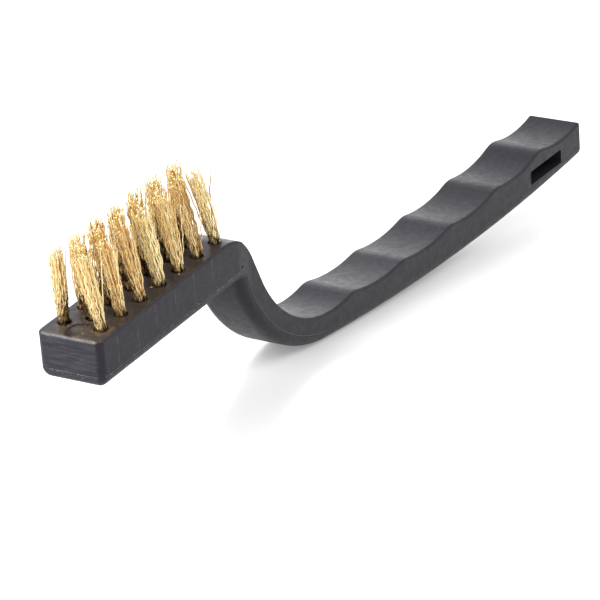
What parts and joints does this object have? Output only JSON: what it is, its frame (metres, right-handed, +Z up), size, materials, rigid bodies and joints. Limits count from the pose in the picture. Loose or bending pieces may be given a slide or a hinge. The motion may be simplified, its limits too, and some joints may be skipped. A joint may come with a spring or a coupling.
{
  "type": "wire brush",
  "caption": "Small one-piece plastic wire scratch brush: long cranked grip with finger scallops and a hanging slot, narrow head with staggered tufts of crimped brass wire.",
  "frame": {"origin": "bottom centre of the brush's box at rest: on the level surface it lies on, midway between the head's front and the grip's end, in the handle's plane of symmetry", "axes": "+X runs from the head towards the hanging-slot end of the grip, +Y to the left seen from the grip's end looking at the head's tufts (across the head), +Z up, the way the tufts point apart from the resting tilt"},
  "size_m": [0.182, 0.0126, 0.0425],
  "materials": {
    "handle_plastic": "satin moulded black plastic",
    "brass_wire": "bright drawn and crimped wire",
    "anchor_wire": "flat drawn wire"
  },
  "bodies": {
    "root": {"handle": "handle_plastic", "tuft_left_1": "brass_wire", "tuft_left_2": "brass_wire", "tuft_left_3": "brass_wire", "tuft_left_4": "brass_wire", "tuft_left_5": "brass_wire", "tuft_left_6": "brass_wire", "tuft_left_7": "brass_wire", "tuft_middle_1": "brass_wire", "tuft_middle_2": "brass_wire", "tuft_middle_3": "brass_wire", "tuft_middle_4": "brass_wire", "tuft_middle_5": "brass_wire", "tuft_middle_6": "brass_wire", "tuft_right_1": "brass_wire", "tuft_right_2": "brass_wire", "tuft_right_3": "brass_wire", "tuft_right_4": "brass_wire", "tuft_right_5": "brass_wire", "tuft_right_6": "brass_wire", "tuft_right_7": "brass_wire", "anchor_left_1": "anchor_wire", "anchor_left_2": "anchor_wire", "anchor_left_3": "anchor_wire", "anchor_left_4": "anchor_wire", "anchor_left_5": "anchor_wire", "anchor_left_6": "anchor_wire", "anchor_left_7": "anchor_wire", "anchor_middle_1": "anchor_wire", "anchor_middle_2": "anchor_wire", "anchor_middle_3": "anchor_wire", "anchor_middle_4": "anchor_wire", "anchor_middle_5": "anchor_wire", "anchor_middle_6": "anchor_wire", "anchor_right_1": "anchor_wire", "anchor_right_2": "anchor_wire", "anchor_right_3": "anchor_wire", "anchor_right_4": "anchor_wire", "anchor_right_5": "anchor_wire", "anchor_right_6": "anchor_wire", "anchor_right_7": "anchor_wire"}
  },
  "joints": []
}
